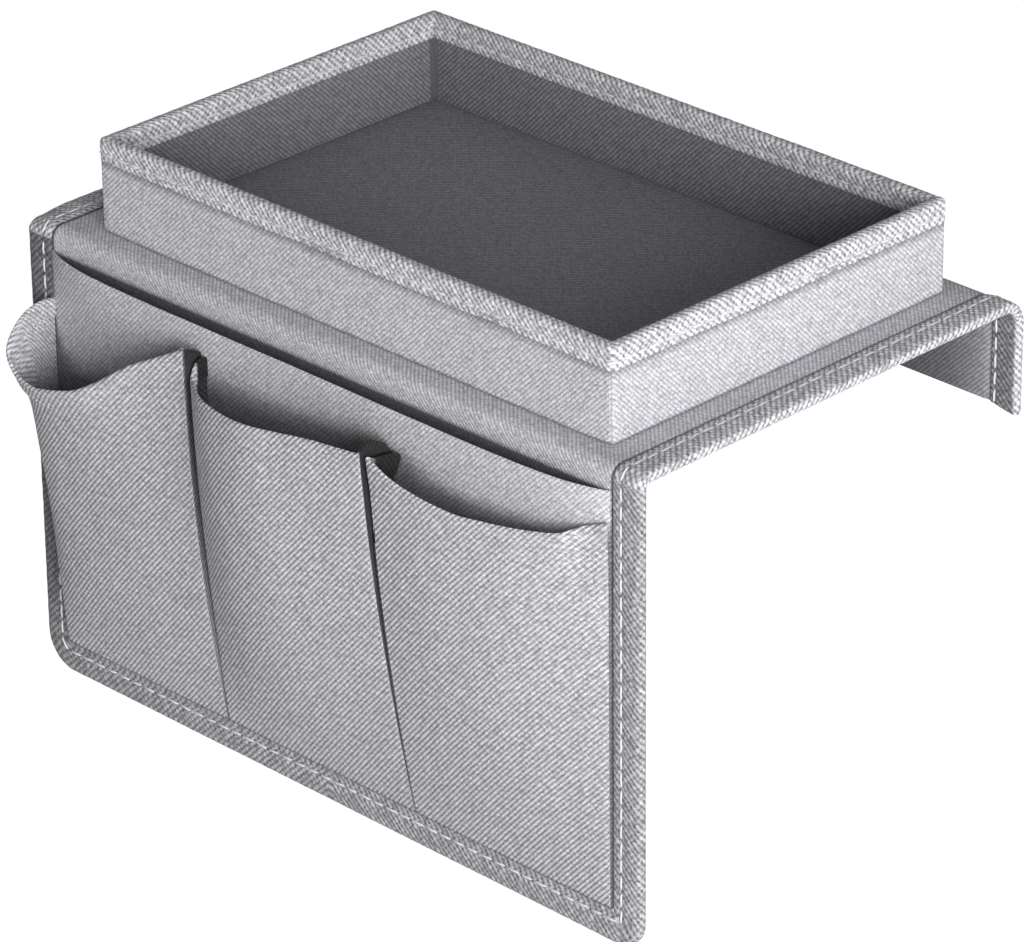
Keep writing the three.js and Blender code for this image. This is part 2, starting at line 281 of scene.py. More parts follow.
def arc(centre_x, centre_y, radius, from_degrees, to_degrees, steps):
    angles = [math.radians(a) for a in np.linspace(from_degrees, to_degrees, steps + 1)]
    return [(centre_x + radius * math.cos(a), centre_y + radius * math.sin(a)) for a in angles]


def between(value, start, end, first, last):
    """What is as far between first and last as a value is between its start and end."""
    return ((end - value) * first + (value - start) * last) / (end - start)


def curve_through(keys, spacing, turn_degrees):
    """A smooth line through points, with more places where it turns."""
    keys = np.array(keys, float)
    ends = [2 * keys[0] - keys[1], *keys, 2 * keys[-1] - keys[-2]]
    dense = []
    for before, start, end, after in zip(ends[:-3], ends[1:-2], ends[2:-1], ends[3:]):
        knots = [0.0]
        for a, b in ((before, start), (start, end), (end, after)):
            knots.append(knots[-1] + math.sqrt(max(np.linalg.norm(b - a), 1e-6)))
        t0, t1, t2, t3 = knots
        for t in np.linspace(t1, t2, 24, endpoint=False):
            a1 = between(t, t0, t1, before, start)
            a2 = between(t, t1, t2, start, end)
            a3 = between(t, t2, t3, end, after)
            b1 = between(t, t0, t2, a1, a2)
            b2 = between(t, t1, t3, a2, a3)
            dense.append(between(t, t1, t2, b1, b2))
    dense.append(keys[-1])
    kept = [dense[0]]
    heading = dense[1] - dense[0]
    for index in range(1, len(dense) - 1):
        step = dense[index + 1] - dense[index]
        cosine = step @ heading / max(np.linalg.norm(step) * np.linalg.norm(heading), 1e-9)
        turned = math.degrees(math.acos(max(-1.0, min(1.0, cosine))))
        if turned > turn_degrees or np.linalg.norm(dense[index] - kept[-1]) > spacing:
            kept.append(dense[index])
            heading = step
    kept.append(dense[-1])
    return np.array(kept)


# Materials


def new_group(name, inputs, outputs):
    """A node group, what comes in and what goes out. An input without a value is a place."""
    group = bpy.data.node_groups.new(name, "ShaderNodeTree")
    for label, value in inputs.items():
        kind = {type(None): "Vector", float: "Float", tuple: "Color"}[type(value)]
        socket = group.interface.new_socket(name=label, in_out="INPUT", socket_type=f"NodeSocket{kind}")
        if value is not None:
            socket.default_value = value
    for label, kind in outputs.items():
        group.interface.new_socket(name=label, in_out="OUTPUT", socket_type=f"NodeSocket{kind}")
    return group, group.nodes.new("NodeGroupInput").outputs, group.nodes.new("NodeGroupOutput").inputs


def node(tree, kind, settings=None, **inputs):
    """A node with its settings, and with a value or a link on each named input."""
    made = tree.nodes.new(kind)
    set_all(made, **(settings or {}))
    for name, value in inputs.items():
        socket = made.inputs[int(name[1:])] if name[0] == "i" and name[1:].isdigit() else made.inputs[name]
        if isinstance(value, bpy.types.NodeSocket):
            tree.links.new(value, socket)
        else:
            socket.default_value = value
    return made


def calc(tree, operation, *values, clamp=False):
    named = {f"i{index}": value for index, value in enumerate(values)}
    return node(tree, "ShaderNodeMath", {"operation": operation, "use_clamp": clamp}, **named).outputs[0]


def vector_calc(tree, operation, *values):
    named = {f"i{index}": value for index, value in enumerate(values)}
    return node(tree, "ShaderNodeVectorMath", {"operation": operation}, **named).outputs[0]


def scaled_place(tree, place, scale):
    return node(tree, "ShaderNodeVectorMath", {"operation": "SCALE"}, i0=place, Scale=scale).outputs[0]


def grey(tree, level):
    return node(tree, "ShaderNodeCombineXYZ", i0=level, i1=level, i2=level).outputs[0]


def blend_colour(tree, factor, first, second, mode="MIX"):
    mixer = node(tree, "ShaderNodeMix", {"data_type": "RGBA", "blend_type": mode, "clamp_factor": True},
                 i0=factor, i6=first, i7=second)
    return mixer.outputs[2]


def make_twill():
    """Diagonal ribs of short yarns: their height, the pits where yarns cross, a value for each yarn, and
    fibres."""
    tree, given, result = new_group(
        "twill_weave",
        {"Vector": None, "Pitch": 0.0017, "Lean": 0.785, "Wander": 0.3, "Cuts": 1.5, "Cross": 0.3},
        {"Height": "Float", "Pit": "Float", "Yarn": "Float", "Grain": "Float"})
    do = partial(calc, tree)
    flat = {"noise_dimensions": "2D"}

    def cloudy(scale, roughness):
        return node(tree, "ShaderNodeTexNoise", flat, Vector=scaled, Scale=scale, Detail=1.0,
                    Roughness=roughness).outputs

    def chance(place):
        return node(tree, "ShaderNodeTexWhiteNoise", flat, Vector=place).outputs["Value"]

    def cell(first, second):
        return node(tree, "ShaderNodeCombineXYZ", i0=do("FLOOR", first), i1=do("FLOOR", second)).outputs[0]

    def swell(value):
        """From 0 on whole numbers to 1 halfway between them."""
        return do("MULTIPLY_ADD", do("COSINE", do("MULTIPLY", value, 2 * math.pi)), -0.5, 0.5)

    scaled = scaled_place(tree, given["Vector"], do("DIVIDE", 1.0, given["Pitch"]))
    moved = scaled
    for drift, share in ((cloudy(0.035, 0.4), 2.2), (cloudy(0.8, 0.5), 0.4)):
        centred = vector_calc(tree, "SUBTRACT", drift["Color"], (0.5, 0.5, 0.5))
        strayed = scaled_place(tree, centred, do("MULTIPLY", given["Wander"], share))
        moved = vector_calc(tree, "ADD", moved, strayed)
    turned = node(tree, "ShaderNodeVectorRotate", {"rotation_type": "Z_AXIS"}, Vector=moved,
                  Angle=do("MULTIPLY", given["Lean"], -1.0))
    along, across = node(tree, "ShaderNodeSeparateXYZ", i0=turned.outputs[0]).outputs[:2]
    place = do("MULTIPLY", along, given["Cuts"])
    wave = swell(across)
    bead_gap = do("SUBTRACT", 1.0, swell(place))
    yarn = chance(cell(across, place))
    depth = chance(cell(do("ADD", across, 0.5), do("ADD", place, 0.5)))
    pit = do("MULTIPLY", do("SUBTRACT", 1.0, wave), bead_gap)
    pit = do("MULTIPLY", pit, do("MULTIPLY_ADD", depth, 0.8, 0.2))
    threads = vector_calc(tree, "FLOOR", vector_calc(tree, "MULTIPLY", scaled, (2.2, 2.7, 1.0)))
    grain = do("ADD", do("MULTIPLY", chance(threads), 0.7), do("MULTIPLY", cloudy(3.4, 0.6)[0], 0.3))
    whole = do("SUBTRACT", 1.0, do("MULTIPLY", bead_gap, given["Cross"]))
    height = do("MULTIPLY", do("POWER", wave, 0.7), whole)
    height = do("ADD", height, do("MULTIPLY_ADD", yarn, 0.2, -0.1))
    for label, value in (("Height", height), ("Pit", pit), ("Yarn", yarn), ("Grain", grain)):
        tree.links.new(value, result[label])
    return tree


def make_mottle_and_shade():
    """Soft patches over the whole cloth, as handling and dye leave them, and painted shade where a cloth's
    own attribute asks for it.
    """
    tree, given, result = new_group(
        "cloth_mottle_and_shade", {"Vector": None, "Crease": 0.0, "Color": (0.5, 0.5, 0.5, 1), "Amount": 0.1},
        {"Color": "Color"})
    do = partial(calc, tree)
    patches = node(tree, "ShaderNodeTexNoise", {"noise_dimensions": "3D"}, Vector=given["Vector"], Scale=13.0,
                   Detail=1.0, Roughness=0.5)
    level = do("MULTIPLY", do("SUBTRACT", patches.outputs[0], 0.5), given["Amount"])
    kept = do("SUBTRACT", 1.0, do("MULTIPLY", given["Crease"], 0.93), clamp=True)
    level = do("MULTIPLY", do("ADD", level, 1.0), kept)
    shaded = blend_colour(tree, 1.0, given["Color"], grey(tree, level), "MULTIPLY")
    tree.links.new(shaded, result["Color"])
    return tree


def linear(red, green, blue):
    """A colour as its red, green and blue read in a picture, from 0 to 255."""
    return tuple((c / 255 / 12.92) if c < 10.3 else ((c / 255 + 0.055) / 1.055) ** 2.4
                 for c in (red, green, blue)) + (1.0,)


def new_finish(name):
    """A material, its node tree and its shader's inputs."""
    material = bpy.data.materials.new(name)
    material.use_nodes = True
    return material, material.node_tree, material.node_tree.nodes["Principled BSDF"].inputs


def set_values(inputs, **values):
    """Sets inputs by their labels, with a _ for each space."""
    for label, value in values.items():
        inputs[label.replace("_", " ")].default_value = value


def set_surface(tree, shader, colour, height, relief, strength, rough):
    """Links a colour, a height whose relief is in metres, and a roughness to a shader."""
    bump = node(tree, "ShaderNodeBump", Strength=strength, Distance=relief, Height=height)
    for source, label in ((colour, "Base Color"), (bump.outputs[0], "Normal"), (rough, "Roughness")):
        tree.links.new(source, shader[label])


def cloth_finish(name, yarn_colour, gap_colour, pitch, lean, relief, speckle, pits, cuts=1.5, cross=0.3,
                 wander=0.3):
    """A twill cloth. Its pitch and its relief, the height of its ribs, are in metres, its lean in degrees.
    pits say how dark its yarns' crossings are, cuts and cross how often and how deeply a rib is crossed."""
    material, tree, shader = new_finish(name)
    do = partial(calc, tree)
    cut = node(tree, "ShaderNodeUVMap", {"uv_map": "UVMap"})
    place = node(tree, "ShaderNodeTexCoord")
    # Each piece's painted shade, read from its own attribute
    crease = node(tree, "ShaderNodeAttribute", {"attribute_name": "crease"})
    weave = node(tree, "ShaderNodeGroup", {"node_tree": twill_group}, Vector=cut.outputs[0], Pitch=pitch,
                 Lean=math.radians(lean), Wander=wander, Cuts=cuts, Cross=cross).outputs
    colour = blend_colour(tree, do("MULTIPLY_ADD", weave["Height"], 1.2, 0.0, clamp=True),
                          linear(*gap_colour), linear(*yarn_colour))
    tone = do("MULTIPLY_ADD", weave["Yarn"], 0.4, weave["Grain"])
    tone = do("MULTIPLY_ADD", do("SUBTRACT", tone, 0.7), speckle, 1.0)
    tone = do("MULTIPLY", tone, do("MULTIPLY_ADD", weave["Pit"], -pits, 1.0))
    colour = blend_colour(tree, 1.0, colour, grey(tree, tone), "MULTIPLY")
    mottled_and_shaded = node(tree, "ShaderNodeGroup", {"node_tree": mottle_and_shade_group}, Vector=place.outputs["Object"],
                   Crease=crease.outputs["Fac"], Color=colour, Amount=0.08)
    height = do("ADD", weave["Height"], do("MULTIPLY", weave["Grain"], 0.25))
    rough = do("MULTIPLY_ADD", weave["Grain"], 0.16, 0.82)
    set_surface(tree, shader, mottled_and_shaded.outputs[0], height, relief, 0.9, rough)
    set_values(shader, Specular_IOR_Level=0.18, Sheen_Weight=0.08, Sheen_Roughness=0.5)
    return material


def thread_finish():
    """Pale thread with a fine twist, on Object coordinates, because a stitch has no cut."""
    material, tree, shader = new_finish("sewing_thread")
    place = node(tree, "ShaderNodeTexCoord")
    twist = node(tree, "ShaderNodeTexWave", {"wave_type": "BANDS", "bands_direction": "DIAGONAL"},
                 Vector=place.outputs["Object"], Scale=700.0, Distortion=1.5, Detail=1.0).outputs["Fac"]
    colour = blend_colour(tree, twist, linear(214, 213, 216), linear(247, 247, 249))
    set_surface(tree, shader, colour, twist, 0.0001, 0.4, calc(tree, "MULTIPLY_ADD", twist, 0.1, 0.55))
    set_values(shader, Specular_IOR_Level=0.3)
    return material


def board_finish():
    """Grey board with short fibres."""
    material, tree, shader = new_finish("grey_board")
    place = node(tree, "ShaderNodeTexCoord")
    longer = node(tree, "ShaderNodeMapping", Vector=place.outputs["Object"], Scale=(1.0, 3.0, 6.0))
    fibres = node(tree, "ShaderNodeTexNoise", Vector=longer.outputs[0], Scale=260.0, Detail=5.0,
                  Roughness=0.7).outputs[0]
    colour = blend_colour(tree, fibres, linear(128, 123, 114), linear(170, 165, 155))
    set_surface(tree, shader, colour, fibres, 0.0002, 0.5, calc(tree, "MULTIPLY_ADD", fibres, 0.15, 0.8))
    return material


twill_group = make_twill()
mottle_and_shade_group = make_mottle_and_shade()
cover_twill = cloth_finish(
    "cover_twill", (221, 220, 225), (186, 185, 191), pitch=0.0015, lean=45, relief=0.00013, speckle=0.66,
    pits=0.32, cross=0.2)
pocket_twill = cloth_finish(
    "pocket_twill", (216, 215, 220), (180, 179, 185), pitch=0.00168, lean=47, relief=0.00046, speckle=0.74,
    pits=0.55, cross=0.2, wander=0.15)
binding_twill = cloth_finish(
    "binding_twill", (240, 239, 244), (175, 174, 180), pitch=0.0021, lean=-45, relief=0.00015, speckle=0.85,
    pits=0.6, cuts=1.0, cross=0.4)
inner_twill = cloth_finish(
    "inner_twill", (176, 175, 181), (142, 141, 147), pitch=0.0015, lean=45, relief=0.0001, speckle=0.5,
    pits=0.3)
# The tray's lining: a grey twill whose colour also holds painted shade for the inside of the tray
shaded_lining_twill = cloth_finish(
    "shaded_lining_twill", (150, 149, 155), (112, 111, 117), pitch=0.0016, lean=45, relief=0.00016, speckle=0.56,
    pits=0.32, cross=0.2)
thread = thread_finish()
board = board_finish()


# Where the saddle's surface runs. A place is how far along one of its lengths, and a level is how far outside
# the cover. Each function gives a place's Y and Z.


def round_fold(centre_y, centre_z, angle, radius):
    return centre_y + radius * math.cos(angle), centre_z + radius * math.sin(angle)


def on_front_flap(z, level):
    return front_face - level, z


def on_front_fold(turn, level):
    """turn goes from 0 at the flap to 1 at the top panel."""
    angle = math.pi - turn * math.pi / 2
    return round_fold(top_front_end, front_flap_top, angle, front_fold_radius + level)


def on_top(y, level):
    return y, top_surface + level


def on_rear_fold(turn, level):
    """turn goes from 0 at the top panel to 1 at the flap."""
    angle = math.pi / 2 - turn * math.pi / 2
    return round_fold(top_rear_end, rear_flap_top, angle, rear_fold_radius + level)


def on_rear_flap(z, level):
    return rear_face + level, z


def saddle_runs(fold_step, step, lowest):
    """Places along the saddle, from the front fold to the rear flap's end, by the length that they are on."""
    return {
        "front_fold": [(on_front_fold, turn) for turn in spread(0, 1, fold_step)],
        "top": [(on_top, y) for y in spread(top_front_end, top_rear_end, step)],
        "rear_fold": [(on_rear_fold, turn) for turn in spread(0, 1, 0.1)],
        "rear_flap": [(on_rear_flap, z) for z in spread(rear_flap_top, lowest, step)],
    }


# The flap beside each fold, and where the fold starts and ends
bends = {
    "front_fold": ("front_flap", (0, top_front_end, top_surface), (0, front_face, front_flap_top)),
    "rear_fold": ("rear_flap", (0, top_rear_end, top_surface), (0, rear_face, rear_flap_top)),
}


def carry(piece, part, slot=None, *nodes):
    """Makes a piece ride on its body, or leaves one on a fold where it is, and hides the nodes that it stands
    for.
    """
    if part in bends:
        flap, start, end = bends[part]
        [v * MM for v in start]
        [v * MM for v in end]
        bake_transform(piece)
    else:
        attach(piece, part)
    if nodes:
        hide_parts(*nodes)


# The saddle's cloths


def inside_magazine(y, z):
    """Painted shade on the flap's cover behind the magazine panel, where its mouth shows it."""
    return min(0.88, max(0.0, top_surface - z - magazine_mouth_drop - 0.1)) if y < 0 else 0.0


def deep_inside(x):
    """Painted shade on the rear flap's lining, darker away from the saddle's open ends."""
    return 0.8 * (1 - math.exp(min(0.0, abs(x) - 150) / 15))


def saddle_cloths(name, level, finish, reach, dip, thickness, facing_out, nodes):
    """One cloth of the saddle in its five lengths, which meet edge to edge at the folds. dip is how far it
    sinks in beside the bindings."""
    columns = joined(
        spread(-reach, -seam, 4), spread(-seam, -seam + 3, 0.75), spread(-seam + 3, seam - 3, 5),
        spread(seam - 3, seam, 0.75), spread(seam, reach, 4))
    outward = 1 if facing_out else -1
    dark_edge = seam - 0.5 if facing_out else half_length - back_leg_width

    def sunk(x):
        beside = max(0.0, 1 - (seam - abs(x)) / 2.2) if abs(x) < seam else 1.0
        return level - outward * dip * beside ** 1.5

    # Painted shade: beside the bindings, on the cover behind the magazine panel, and on the rear flap's
    # lining away from its open ends
    def shade(part, x, y, z):
        beside = min(1.0, max(0.0, 1 - (dark_edge - abs(x)) / 0.8))
        if facing_out:
            return max(inside_magazine(y, z), beside)
        return max(deep_inside(x), beside) if part == "rear_flap" else beside

    front_heights = joined(spread(front_bottom + 5, -15, 6), spread(-15, front_flap_top, 1))
    lengths = {"front_flap": [(on_front_flap, z) for z in front_heights]}
    lengths.update(saddle_runs(0.125, 5, rear_bottom))
    start = 0.0
    for part, run in lengths.items():
        grid = [[(x, *place(value, sunk(x))) for x in columns] for place, value in run]
        if part == "rear_flap":
            for turned, below in ((0.35, 0.12), (1.0, 0.26), (1.9, 0.3)):
                edge = [(x, *on_rear_flap(rear_bottom - below, sunk(x) - outward * turned)) for x in columns]
                grid.append(edge)
        if not facing_out:
            grid = [line[::-1] for line in grid]
        points = np.array(grid, float)
        up = distances(points, 0) + start
        crease = [[shade(part, *point) for point in line] for line in grid]
        piece = cloth(f"{name}_{part}", grid, finish, thickness, uv=spread_map(-points[0, :, 0] * MM, up),
                      crease=crease, soften=0)
        carry(piece, part, "cover_cloth", nodes[part])
        start = up[-1]
    for part in ("front_flap", "top", "rear_flap"):
        height = distances(np.array([[(0, *place(value, level))] for place, value in lengths[part]]), 0)[-1]


saddle_cloths(
    "cover", 0.0, cover_twill, cover_reach, 0.5, cloth_thickness, True,
    {"front_flap": "front_flap_cover", "front_fold": "front_fold_cloth", "top": "top_cover_cloth",
     "rear_fold": "rear_fold_cloth", "rear_flap": "rear_flap_cover"})
saddle_cloths(
    "lining", -panel_thickness, inner_twill, lining_reach, 0.35, lining_thickness, False,
    {part: f"{part}_lining" for part in ("front_flap", "front_fold", "top", "rear_fold", "rear_flap")})


# Bindings. A section point is how far in from the edge, and its level outside the cover's face.

saddle_section = [
    (13.3, -0.4), (13.3, -0.05), (13.0, 0.22), (12.2, 0.42), (11.0, 0.62), (9.7, 0.66), (9.2, 0.45),
    (8.8, 0.32), (8.4, 0.45), (7.9, 0.66), (6.4, 0.76), (4.2, 0.76), (2.0, 0.66), (0.5, 0.42), (-0.2, -0.05),
    (-0.45, -0.9), (-0.5, -2.1), (-0.35, -3.0), (0.2, -3.55), (1.6, -3.75), (5.5, -3.78), (8.2, -3.72),
    (9.5, -3.66), (10.0, -3.52), (10.3, -3.48), (10.7, -3.62), (11.4, -3.74), (11.9, -3.66), (12.1, -3.3),
]
# The number of its outermost point
saddle_outermost = 16

rim_section = [
    (0.2, -9.3), (-0.4, -9.42), (-0.66, -9.1), (-0.74, -8.2), (-0.68, -6.9), (-0.56, -6.4), (-0.46, -6.0),
    (-0.56, -5.6), (-0.68, -5.1), (-0.78, -3.4), (-0.72, -1.4), (-0.4, -0.35), (0.2, 0.2), (1.1, 0.5),
    (2.1, 0.6), (3.0, 0.5), (3.8, 0.1), (4.4, -0.6), (4.72, -1.7), (4.8, -3.4), (4.7, -5.1), (4.55, -5.6),
    (4.44, -6.0), (4.55, -6.4), (4.7, -6.9), (4.78, -8.2), (4.7, -9.1), (4.4, -9.45), (3.9, -9.4),
]

# Painted shade on the sections' points beside a seam and on the back leg, by their numbers
lip_shade = {0: 0.95, 1: 0.7, 2: 0.4, 3: 0.24, 4: 0.12, 27: 0.7, 28: 0.92}
lip_shade.update({number: 0.68 for number in range(19, 27)})
rim_shade = {0: 0.9, 1: 0.4, 27: 0.4, 28: 0.9}


def flap_edge(inset):
    """The front flap's edge in X and Z, from its top left down and round to its top right. Its left corner
    hangs a little rounder."""
    first = max(inset, flap_corner_radius + 3)
    second = max(inset, flap_corner_radius)
    down = evenly(front_flap_top, front_bottom + first, flap_side_steps)
    across = evenly(-half_length + first, half_length - second, flap_bottom_steps)
    up = evenly(front_bottom + second, front_flap_top, flap_side_steps)
    return joined(
        [(-half_length + inset, z) for z in down],
        arc(-half_length + first, front_bottom + first, first - inset, 180, 270, flap_corner_steps),
        [(x, front_bottom + inset) for x in across],
        arc(half_length - second, front_bottom + second, second - inset, 270, 360, flap_corner_steps),
        [(half_length - inset, z) for z in up])


def tray_edge(inset):
    """The tray's outline in X and Y, moved in by an inset, from the right end of its rear wall round to the
    left, as seen from above, and back."""
    reach = max(inset, tray_corner_radius)
    radius = reach - inset
    left, right = tray_left + reach, tray_right - reach
    front, rear = tray_front + reach, tray_rear - reach
    return joined(
        [(x, tray_rear - inset) for x in evenly(right, left, tray_long_steps)],
        arc(left, rear, radius, 90, 180, tray_corner_steps),
        [(tray_left + inset, y) for y in evenly(rear, front, tray_short_steps)],
        arc(left, front, radius, 180, 270, tray_corner_steps),
        [(x, tray_front + inset) for x in evenly(left, right, tray_long_steps)],
        arc(right, front, radius, 270, 360, tray_corner_steps),
        [(tray_right - inset, y) for y in evenly(front, rear, tray_short_steps)],
        arc(right, rear, radius, 0, 90, tray_corner_steps))


def folded_strip(name, section, place, stations, lengths, shade, start=0.0, reverse=False, edge_line=None,
                 darker=lambda station: 0.0):
    """A binding: its section carried along stations, a little uneven, and pulled in at each stitch. shade is
    the painted shade on its points beside a seam, and darker the painted shade all over it at a station.
    edge_line gives its cut round corners: it is the outline at each distance in from the panel's edge."""
    across = run_lengths(section)
    rows = []
    painted_shades = []
    for index, station in enumerate(stations):
        here = lengths[index] + start
        line = []
        for number, (inset, level) in enumerate(section):
            puff = 0.13 * math.cos(2 * math.pi * here / stitch_pitch)
            uneven = wobble(here, number * 0.8, 0, 9, 0.16, 3.1) + wobble(here, number * 0.5, 5, 30, 0.2, 1.7)
            line.append(place(station, inset, level, (puff + uneven) * 0.5))
        rows.append(line)
        painted_shades.append([max(shade.get(number, 0.0), darker(station)) for number in range(len(section))])
    rows = np.array(rows, float).transpose(1, 0, 2)
    painted_shades = np.array(painted_shades).T
    uv = spread_map((np.array(lengths) + start) * MM, across * MM)
    if edge_line:
        uv = np.array([edge_line(across[saddle_outermost] - reach) for reach in across]) * MM
        uv[..., 0] = np.abs(uv[..., 0])
    if reverse:
        rows, painted_shades, uv = rows[:, ::-1], painted_shades[:, ::-1], uv[:, ::-1]
    return cloth(name, rows, binding_twill, binding_thickness, uv=uv, crease=painted_shades, soften=0.15)


def raised(level, swell):
    """A level of the section with its unevenness, outwards on each side of the panel."""
    return level + swell if level > -panel_thickness / 2 else level - swell * 0.3


def front_flap_binding():
    insets = {inset: flap_edge(inset) for inset, _ in saddle_section}
    outer = flap_edge(0)
    lengths = run_lengths(outer)

    def place(index, inset, level, swell):
        """The left side's outermost points are drawn in towards the top, and the bottom sags to the right."""
        x, z = insets[inset][index]
        low = max(0.0, 1 - (z - front_bottom) / 16)
        if inset < 0 and x < 0:
            x -= inset * (1 + z / bottom_seam_drop)
        sag = low * bottom_sag * (x + half_length) / (2 * half_length)
        return x, front_face - raised(level, swell), z - sag

    def darker(index):
        """Painted shade at a place on the flap's binding, all along it, more so to its left, and most of all
        high up there.
        """
        x, z = outer[index]
        beside = 0.2 + 0.19 * min(1.0, (z - front_bottom) / 40)
        return 0.39 + beside * math.exp(-(x + half_length) / 45)

    piece = folded_strip("binding_front_flap", saddle_section, place, range(len(outer)), lengths, lip_shade,
                         reverse=True, edge_line=flap_edge, darker=darker)
    carry(piece, "front_flap", "binding_cloth", "front_flap_binding")


def side_binding(name, side, path, start):
    """A binding on one side, along a run of places, each with its function."""
    lengths = run_lengths([place(value, 0) for place, value in path])

    def put(station, inset, level, swell):
        """The left binding is sunk in at its front corner, and each ends in a slant below the rear flap."""
        place, value = station
        if place is on_rear_flap and value < rear_bottom:
            value = rear_bottom + (value - rear_bottom) * (1 - inset / binding_width)
        slump = 0.0
        if side < 0 and place is on_front_fold:
            slump = math.sin(value * math.pi / 2) ** 2
        if side < 0 and place is on_top:
            slump = math.exp(-((value - top_front_end) / 8) ** 2)
        on_face = min(1.0, max(0.0, 1 + level / panel_thickness))
        level = raised(level, swell) - corner_slump * slump * on_face * max(0.0, 1 - inset / 9)
        return side * (half_length - max(inset, -0.1 if side < 0 else -1)), *place(value, level)

    # The side bindings carry a slight painted shade all over, besides the painted shade beside their seams
    piece = folded_strip(name, saddle_section, put, path, lengths, lip_shade, start, reverse=side > 0,
                         darker=lambda station: 0.07)
    return piece, float(lengths[-1])


# How far along the side bindings each of their lengths starts
front_fold_length = math.pi / 2 * front_fold_radius
top_length = top_rear_end - top_front_end
rear_fold_length = math.pi / 2 * rear_fold_radius
side_starts = {
    "front_fold": 0.0,
    "top": front_fold_length,
    "rear_fold": front_fold_length + top_length,
    "rear_flap": front_fold_length + top_length + rear_fold_length,
}


def side_bindings():
    paths = saddle_runs(0.125, 2.4, rear_bottom)
    paths["rear_flap"].append((on_rear_flap, rear_bottom - 2.4))
    for side, word in ((-1, "left"), (1, "right")):
        made = {}
        for part, path in paths.items():
            piece, length = side_binding(f"binding_{word}_{part}", side, path, side_starts[part])
            made[part] = piece, length
            replaced = f"rear_flap_{word}_binding" if part == "rear_flap" else f"{word}_{part}_binding"
            carry(piece, part, "binding_cloth", replaced)
        for part, others in (("top", ["front_fold", "rear_fold"]), ("rear_flap", [])):
            piece, length = made[part]
            [made[other][0] for other in others]


front_flap_binding()
side_bindings()


# Tray


def beside_corner(x, y):
    """How far a place on the tray's outline is from its short walls and from its long walls."""
    return min(abs(x - tray_left), abs(x - tray_right)), min(abs(y - tray_front), abs(y - tray_rear))


def wall_uv(points, height, inside):
    """The cut of the tray's walls. Its ribs lean the other way on the short walls."""
    across = []
    for x, y in points:
        to_end, to_side = beside_corner(x, y)
        if to_side < to_end:
            across.append(x if y < 0 or inside else -x)
        else:
            across.append(-y if x > 0 or inside else y)
    return spread_map(np.array(across) * MM, np.array(height) * MM)


def puffed(x, y, z):
    """A place on the outer cloth, which stands fuller low down on the long walls."""
    to_end, to_side = beside_corner(x, y)
    free = 1 - math.exp(-max(max(to_end, to_side) - 1.5, 0) / 9)
    fuller = (0.8 if to_side < to_end else 0.0) * max(0.0, 1 - (z - tray_base) / 22) ** 1.6
    out = (fuller + wobble(x, y, z, 34, 0.35, 2.2)) * free
    if to_side < to_end:
        return x, y + math.copysign(out, y), z
    return x + math.copysign(out, x), y, z


def build_tray():
    outer = tray_edge(0)
    lengths = run_lengths(outer)

    def declare(piece, slot, replaced):
        carry(piece, "top", slot, replaced)

    outside = [(0.1, 3.72), (-0.4, 4.2), (outer_wall_inset, 5.2)]
    outside += [(outer_wall_inset, z) for z in spread(8, wall_cloth_top, 4)]
    heights = [z for _, z in outside]
    grid = [[puffed(x, y, z) for x, y in tray_edge(inset)] for inset, z in outside]
    rim_seam = tray_rim - rim_binding_depth
    # Painted shade at the cover's foot on the top panel and under the rim binding's seam
    crease = [[0.55 if z < 4.5 or abs(z - rim_seam) < 1.6 else 0] * len(outer) for z in heights]
    cover = cloth("tray_cover", grid, cover_twill, uv=wall_uv(outer, heights, False), crease=crease)
    declare(cover, "cover_cloth", "tray_outer_cover")

    inner = tray_edge(inner_wall_inset)[::-1]
    up = spread(tray_floor - 0.3, wall_cloth_top, 4)
    grid = [[(x, y, z) for x, y in inner] for z in up]
    lining = cloth("tray_lining", grid, shaded_lining_twill, binding_thickness, uv=wall_uv(inner, up, True))
    declare(lining, "lining_cloth", "tray_inner_lining")

    insets = {inset: tray_edge(inset) for inset, _ in rim_section}

    def rim_place(index, inset, level, swell):
        """A point on the rim's top swells upwards, and one on its legs away from the wall's middle."""
        x, y = insets[inset][index]
        if level > -0.8:
            return x, y, tray_rim + level + swell
        swell = swell if inset < wall_middle_inset else -swell
        across, deep = ((place - centre) / half
                        for place, centre, half in zip(outer[index], tray_centre, tray_half_sizes))
        if abs(across) > abs(deep):
            return x + math.copysign(1, across) * swell, y, tray_rim + level
        return x, y + math.copysign(1, deep) * swell, tray_rim + level

    rim = folded_strip("binding_tray_rim", rim_section, rim_place, range(len(outer)), lengths, rim_shade)
    declare(rim, "binding_cloth", "tray_rim_binding")


def build_tray_floor():
    inset = 4.1
    xs = spread(tray_left + inset, tray_right - inset, 5)
    ys = spread(tray_front + inset, tray_rear - inset, 5)
    grid = []
    for y in ys:
        line = []
        for x in xs:
            edge = min(x - xs[0], xs[-1] - x, y - ys[0], ys[-1] - y)
            line.append((x, y, tray_floor - 0.5 * max(0.0, 1 - edge / 3) + wobble(x, y, 0, 40, 0.12, 4)))
        grid.append(line)
    floor = cloth("tray_floor_cloth", grid, shaded_lining_twill, binding_thickness, soften=0)
    carry(floor, "top", "lining_cloth", "tray_floor_lining")


build_tray()
build_tray_floor()


# Pockets


def magazine_stand_off(x, drop):
    """How far the magazine panel stands off the flap. Its mouth is fuller than the panel below it."""
    across = min(abs(x) / seam, 1.0)
    down = (drop - magazine_mouth_drop) / (bottom_seam_drop - magazine_mouth_drop)
    fullness = 3 + 6 * math.exp(-(max(drop - magazine_mouth_drop, 0.0) / 14) ** 2)
    return magazine_mouth_bow * (1 - across ** fullness) * max(1 - max(down, 0.0) ** 2, 0.0)


def on_flap(x, forward, drop):
    return x, front_face - forward, top_surface - drop


def seam_dip(x, drop):
    """How far a cloth sinks where it goes under a binding, at both sides and at the bottom."""
    side = max(0.0, 1 - (seam - abs(x)) / 2.4)
    low = max(0.0, 1 - (bottom_seam_drop - drop) / 2.4)
    return 0.5 * max(side, low) ** 1.4


